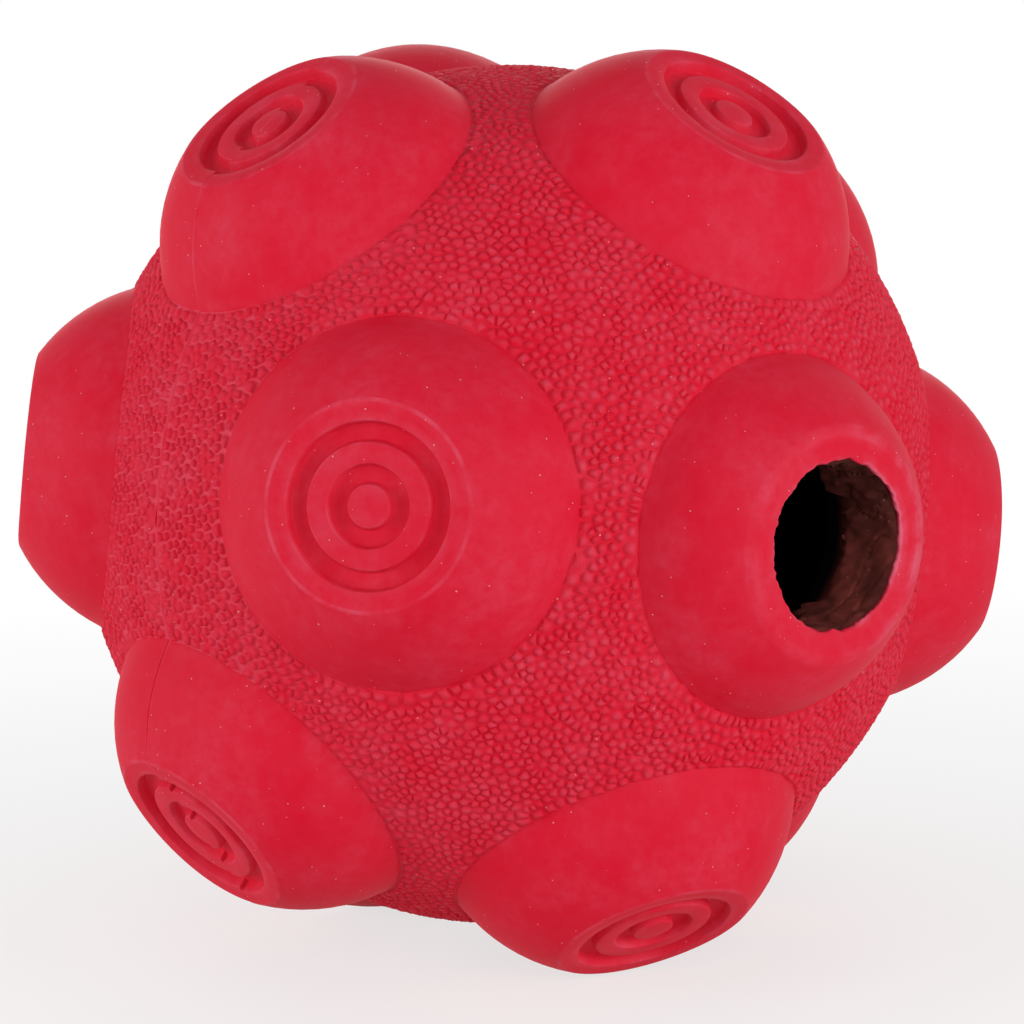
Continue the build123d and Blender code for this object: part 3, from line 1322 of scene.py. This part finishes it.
@dataclass(frozen=True)
class RubberFinish:
    """One kind of rubber: its colours, its painted highlights, painted light and painted shade, and how
    rough, dusty and uneven it is, with lengths in metres.
    """

    name: str
    colour: tuple[float, float, float]
    pale: tuple[float, float, float]
    # painted shade: the near-black colour painted inside the cavity
    inside: tuple[float, float, float] = (0.006, 0.005, 0.005)
    roughness: float = 0.5
    roughness_swing: float = 0.12
    specular: float = 0.4
    bloom: float = 0.3
    wear: float = 0.4
    rubbed: float = 0.36
    crevice: float = 0.35
    dust: float = 0.5
    tooth: float = 0.12
    tooth_depth: float = 0.00012
    cavity_shade_radius: float = 0.0
    cavity_shade_fade: tuple[float, float] = (-0.0012, 0.0006)
    dust_colour: tuple[float, float, float] = (0.82, 0.6, 0.58)
    sunk_range: tuple[float, float] = (0.4, 0.8)
    seam_tops: float = 0.4
    seam_range: tuple[float, float] = (0.008, 0.022)
    patch_scale: float = 300.0
    patch_range: tuple[float, float] = (0.42, 0.64)
    patch_least: float = 0.15

    @staticmethod
    def group(sheet: NodeSheet, tree: bpy.types.NodeTree) -> bpy.types.NodeSocket:
        """The output of a shared effect placed in this finish."""
        return sheet.add("ShaderNodeGroup", node_tree=tree).outputs[0]

    def build(self, effects: EffectLibrary) -> bpy.types.Material:
        """Make the material.

        Args:
            effects: the shared shader groups.

        Returns:
            The new material.
        """
        material = bpy.data.materials.new(self.name)
        material.use_nodes = True
        sheet = NodeSheet(material.node_tree)
        shader = material.node_tree.nodes["Principled BSDF"]
        bloom = self.group(sheet, effects.bloom)
        specks = self.group(sheet, effects.specks)
        tooth = self.group(sheet, effects.tooth)
        pale_share = sheet.math("MULTIPLY", bloom, self.bloom)
        # the crevices are painted paler near the seam
        sunk = sheet.spread(sheet.value(Value.CREVICE), *self.sunk_range)
        near_seam = self.seam_nearness(sheet)
        pale_crevices = sheet.math("MULTIPLY", sunk, near_seam)
        # painted highlight and rubbed wear on the pebble tops, less of it near the seam
        top = sheet.value(Value.RUBBED_AND_HIGHLIGHT)
        tops = sheet.math("MULTIPLY", top, sheet.spread(near_seam, 0.0, 1.0, 1.0, self.seam_tops))
        patches = sheet.noise(sheet.place(), self.patch_scale)
        # Painted paler by the wear-and-light value: edge wear and painted highlights, and painted light on
        # the core.
        patch = sheet.spread(patches, *self.patch_range, to_low=self.patch_least)
        worn_and_lit = sheet.math("MULTIPLY", sheet.value(Value.WEAR_AND_LIGHT), patch)
        held = sheet.math("MULTIPLY", worn_and_lit, self.wear)
        held = sheet.math("ADD", held, sheet.math("MULTIPLY", tops, self.rubbed))
        held = sheet.math("ADD", held, sheet.math("MULTIPLY", pale_crevices, self.crevice))
        paled = sheet.math("ADD", pale_share, held, clamp=True)
        colour = sheet.blend(paled, (*self.colour, 1), (*self.pale, 1))
        colour = sheet.blend(sheet.math("MULTIPLY", specks, self.dust), colour, (*self.dust_colour, 1))
        # painted shade inside the cavity
        if self.cavity_shade_radius:
            colour = self.painted_cavity_shade(sheet, colour)
        sheet.feed(shader.inputs["Base Color"], colour)
        swing = sheet.math("MULTIPLY", bloom, self.roughness_swing)
        sheet.feed(shader.inputs["Roughness"], sheet.math("ADD", swing, self.roughness, clamp=True))
        shader.inputs["Specular IOR Level"].default_value = self.specular
        bump = sheet.add("ShaderNodeBump")
        bump.inputs["Strength"].default_value = self.tooth
        bump.inputs["Distance"].default_value = self.tooth_depth
        sheet.feed(bump.inputs["Height"], tooth)
        sheet.feed(shader.inputs["Normal"], bump.outputs[0])
        return material

    def seam_nearness(self, sheet: NodeSheet) -> bpy.types.NodeSocket:
        """How near the seam is, where the crevices are painted paler, from 1 beside it to 0 further off.

        Args:
            sheet: the material's sheet.

        Returns:
            The nearness.
        """
        parts = sheet.add("ShaderNodeSeparateXYZ")
        sheet.feed(parts.inputs[0], sheet.place())
        away = sheet.math("ABSOLUTE", parts.outputs["Y"])
        return sheet.spread(away, *self.seam_range, to_low=1.0, to_high=0.0)

    def painted_cavity_shade(self, sheet: NodeSheet, colour: bpy.types.NodeSocket) -> bpy.types.NodeSocket:
        """Painted shade: the colour going over to a dark one inside the cavity, where little light reaches,
        by the distance from the ball's centre.

        Args:
            sheet: the material's sheet.
            colour: the rubber's colour.

        Returns:
            The changed colour.
        """
        reach = sheet.add("ShaderNodeVectorMath", operation="LENGTH")
        sheet.feed(reach.inputs[0], sheet.place())
        fade = (self.cavity_shade_radius + step for step in self.cavity_shade_fade)
        share = sheet.spread(reach.outputs["Value"], *fade, to_low=1.0, to_high=0.0)
        return sheet.blend(share, colour, (*self.inside, 1))


RED_RUBBER = RubberFinish(
    name="red_rubber",
    colour=(0.7, 0.005, 0.028),
    pale=(0.73, 0.11, 0.18),
    roughness=0.58,
    specular=0.1,
)
# The brown core is painted paler low down as painted light on the lower bore wall, and near black inside the
# cavity as painted shade.
BROWN_RUBBER = RubberFinish(
    name="brown_rubber",
    colour=(0.075, 0.019, 0.015),
    pale=(0.3, 0.062, 0.05),
    roughness=0.78,
    specular=0.06,
    wear=1.5,
    dust=0.3,
    tooth=0.5,
    cavity_shade_radius=0.0372,
)
SEAM_CEMENT = replace(RED_RUBBER, name="seam_cement", wear=0.25)


@dataclass(frozen=True)
class Lamp:
    """A soft rectangular lamp: its place to the camera's right, up and back of the ball, size and power."""

    name: str
    place: tuple[float, float, float]
    size: tuple[float, float]
    watts: float


LAMPS = (
    Lamp("left_softbox", (-0.82, 0.094, 0.22), (0.55, 0.37), 3.37),
    Lamp("right_softbox", (0.66, 0.08, 0.54), (0.75, 0.37), 3.77),
    Lamp("front_fill", (0.0, 0.13, 0.84), (0.5, 0.5), 1.5),
    Lamp("top_fill", (0.0, 0.85, 0.08), (0.5, 0.5), 0.55),
    Lamp("back_fill", (0.0, 0.29, -0.8), (0.6, 0.42), 2.5),
)


@dataclass
class Studio:
    """Floor, lamps and camera round the ball, with the ball's centre at the origin.

    Angles are in degrees, lengths in metres, and the sensor's width in millimetres.
    """

    azimuth: float = -39.095
    elevation: float = 8.351
    roll: float = -1.303
    distance: float = 0.3741
    focal_pixels: float = 3995.6
    centre_pixel: tuple[float, float] = (509.58, 494.86)
    frame_pixels: float = 1024.0
    sensor: float = 36.0
    clip: tuple[float, float] = (0.01, 100.0)
    surround_strength: float = 0.2
    floor_half_side: float = 6.0
    floor_greys: tuple[float, float] = (0.88, 0.92)
    floor_mottle: float = 9.0
    floor_roughness: float = 0.9
    floor_specular: float = 0.1
    glow_reach: tuple[float, float] = (0.05, 0.2)
    glow_share: tuple[float, float] = (0.7, 1.0)

    def view_axes(self) -> Matrix:
        """Right, up and back of the camera, from its azimuth, elevation and roll.

        Returns:
            The three unit vectors as columns.
        """
        a, e, r = (math.radians(angle) for angle in (self.azimuth, self.elevation, self.roll))
        back = Vector((math.sin(a) * math.cos(e), -math.cos(a) * math.cos(e), math.sin(e)))
        level = Vector((math.cos(a), math.sin(a), 0))
        steep = back.cross(level)
        right = level * math.cos(r) + steep * math.sin(r)
        return Matrix((right, back.cross(right), back)).transposed()

    def add_camera(self) -> None:
        """Place the camera, and shift its frame so that the ball's centre falls on its pixel."""
        lens = bpy.data.cameras.new("camera")
        lens.sensor_width = self.sensor
        lens.lens = self.focal_pixels / self.frame_pixels * self.sensor
        middle = self.frame_pixels / 2
        lens.shift_x = (middle - self.centre_pixel[0]) / self.frame_pixels
        lens.shift_y = (self.centre_pixel[1] - middle) / self.frame_pixels
        lens.clip_start, lens.clip_end = self.clip
        camera = bpy.data.objects.new("camera", lens)
        axes = self.view_axes()
        camera.matrix_world = Matrix.Translation(axes.col[2] * self.distance) @ axes.to_4x4()
        bpy.context.scene.collection.objects.link(camera)
        bpy.context.scene.camera = camera

    def add_lamp(self, lamp: Lamp) -> None:
        """Add a lamp aimed at the ball.

        Args:
            lamp: the lamp, with its place and size in metres.
        """
        light = bpy.data.lights.new(lamp.name, "AREA")
        light.shape = "RECTANGLE"
        light.size, light.size_y = lamp.size
        light.energy = lamp.watts
        holder = bpy.data.objects.new(lamp.name, light)
        away = self.view_axes() @ Vector(lamp.place)
        holder.matrix_world = Matrix.Translation(away) @ away.to_track_quat("Z", "Y").to_matrix().to_4x4()
        bpy.context.scene.collection.objects.link(holder)

    @staticmethod
    def seen(sheet: NodeSheet) -> bpy.types.NodeSocket:
        """One for rays from the camera and for glossy and transmitted rays, and zero for light.

        Args:
            sheet: the sheet of the material or the world.

        Returns:
            The share.
        """
        path = sheet.add("ShaderNodeLightPath")
        seen = sheet.math("ADD", path.outputs["Is Camera Ray"], path.outputs["Is Glossy Ray"], clamp=True)
        return sheet.math("ADD", seen, path.outputs["Is Transmission Ray"], clamp=True)

    def white_when_seen(self, sheet: NodeSheet, shader: bpy.types.NodeSocket) -> bpy.types.NodeSocket:
        """A world shader that looks plain white where it is seen and gives its own light elsewhere.

        Args:
            sheet: the world's sheet.
            shader: the shader that gives the light.

        Returns:
            The mixed shader.
        """
        white = sheet.add("ShaderNodeBackground")
        mix = sheet.add("ShaderNodeMixShader")
        white.inputs[0].default_value = WHITE
        sheet.feed(mix.inputs[0], self.seen(sheet))
        sheet.feed(mix.inputs[1], shader)
        sheet.feed(mix.inputs[2], white.outputs[0])
        return mix.outputs[0]

    def add_world(self) -> None:
        """Add an even white surrounding that lights the ball softly and looks white."""
        world = bpy.data.worlds.new("surround")
        world.use_nodes = True
        sheet = NodeSheet(world.node_tree)
        soft = world.node_tree.nodes["Background"]
        soft.inputs[0].default_value = WHITE
        soft.inputs[1].default_value = self.surround_strength
        shown = self.white_when_seen(sheet, soft.outputs[0])
        sheet.feed(world.node_tree.nodes["World Output"].inputs[0], shown)
        bpy.context.scene.world = world

    def add_floor(self, height: float) -> None:
        """Add a pale matte floor under the ball, faintly mottled, that looks white away from its shadow.

        Seen rays take part of their light from a white glow, and all of it further from the ball.

        Args:
            height: the floor's height in metres.
        """
        side = self.floor_half_side
        around = ((-side, -side), (side, -side), (side, side), (-side, side))
        corners = [(x, y, height) for x, y in around]
        mesh = bpy.data.meshes.new("floor")
        mesh.from_pydata(corners, [], [(0, 1, 2, 3)])
        floor = bpy.data.objects.new("floor", mesh)
        bpy.context.scene.collection.objects.link(floor)
        material = bpy.data.materials.new("pale_floor")
        material.use_nodes = True
        sheet = NodeSheet(material.node_tree)
        shader = material.node_tree.nodes["Principled BSDF"]
        mottle = sheet.noise(sheet.place(), self.floor_mottle)
        greys = [(grey, grey, grey, 1) for grey in self.floor_greys]
        sheet.feed(shader.inputs["Base Color"], sheet.blend(mottle, *greys))
        shader.inputs["Roughness"].default_value = self.floor_roughness
        shader.inputs["Specular IOR Level"].default_value = self.floor_specular
        glow = sheet.add("ShaderNodeEmission")
        reach = sheet.add("ShaderNodeVectorMath", operation="LENGTH")
        sheet.feed(reach.inputs[0], sheet.place())
        glowing = sheet.spread(reach.outputs["Value"], *self.glow_reach, *self.glow_share)
        share = sheet.math("MULTIPLY", glowing, self.seen(sheet))
        mix = sheet.add("ShaderNodeMixShader")
        sheet.feed(mix.inputs[0], share)
        sheet.feed(mix.inputs[1], shader.outputs[0])
        sheet.feed(mix.inputs[2], glow.outputs[0])
        sheet.feed(material.node_tree.nodes["Material Output"].inputs[0], mix.outputs[0])
        mesh.materials.append(material)
        floor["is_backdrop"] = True

    def build(self, floor_height: float) -> None:
        """Add everything.

        Args:
            floor_height: the floor's height in metres.
        """
        self.add_camera()
        self.add_world()
        self.add_floor(floor_height)
        for lamp in LAMPS:
            self.add_lamp(lamp)


@dataclass
class TreatBall:
    """The whole ball, dressed in its finishes."""

    form: BallForm
    effects: EffectLibrary

    def dress(self, piece: bpy.types.Object, finish: bpy.types.Material) -> None:
        """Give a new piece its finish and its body.

        Args:
            piece: the new piece.
            finish: its material.
        """
        piece.data.materials.append(finish)
        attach(piece, BODY)
        log.info("%s: %d faces", piece.name, len(piece.data.polygons))

    def build(self) -> None:
        """Make every piece and dress it, and dress the carried-over core."""
        red = RED_RUBBER.build(self.effects)
        brown = BROWN_RUBBER.build(self.effects)
        cement = SEAM_CEMENT.build(self.effects)
        grain, knob = PebbleGrain(self.form), KnobShape(self.form)
        covers = {
            "mouth_cover": RubberCover(self.form, Half.MOUTH, "mouth_cover_skin", grain, knob),
            "rear_cover": RubberCover(self.form, Half.REAR, "rear_cover_skin", grain, knob, twist=0.15),
        }
        for node, cover in covers.items():
            piece = cover.build()
            self.dress(piece, red)
            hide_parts(node)
        core = MouthCore(self.form, "mouth_core_torn").build()
        self.dress(core, brown)
        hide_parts("mouth_core")
        bond = SeamBond(self.form, covers["mouth_cover"].seam_loop, "seam_bead").build()
        self.dress(bond, cement)
        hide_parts("seam_bond")
        rear_core = frame["nodes"]["rear_core"]
        rear_core.data.materials.clear()
        rear_core.data.materials.append(brown)
        log.info("rear_core: carried over")


def main() -> None:
    """Build the ball and its studio."""
    logging.basicConfig(level=logging.INFO, format="%(name)s %(message)s")
    cad_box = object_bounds()
    bpy.context.scene.view_settings.view_transform = "Standard"
    TreatBall(BallForm.from_frame(), EffectLibrary()).build()
    Studio().build(cad_box[0].z)
    bpy.context.view_layer.update()


if __name__ == "__main__":
    main()
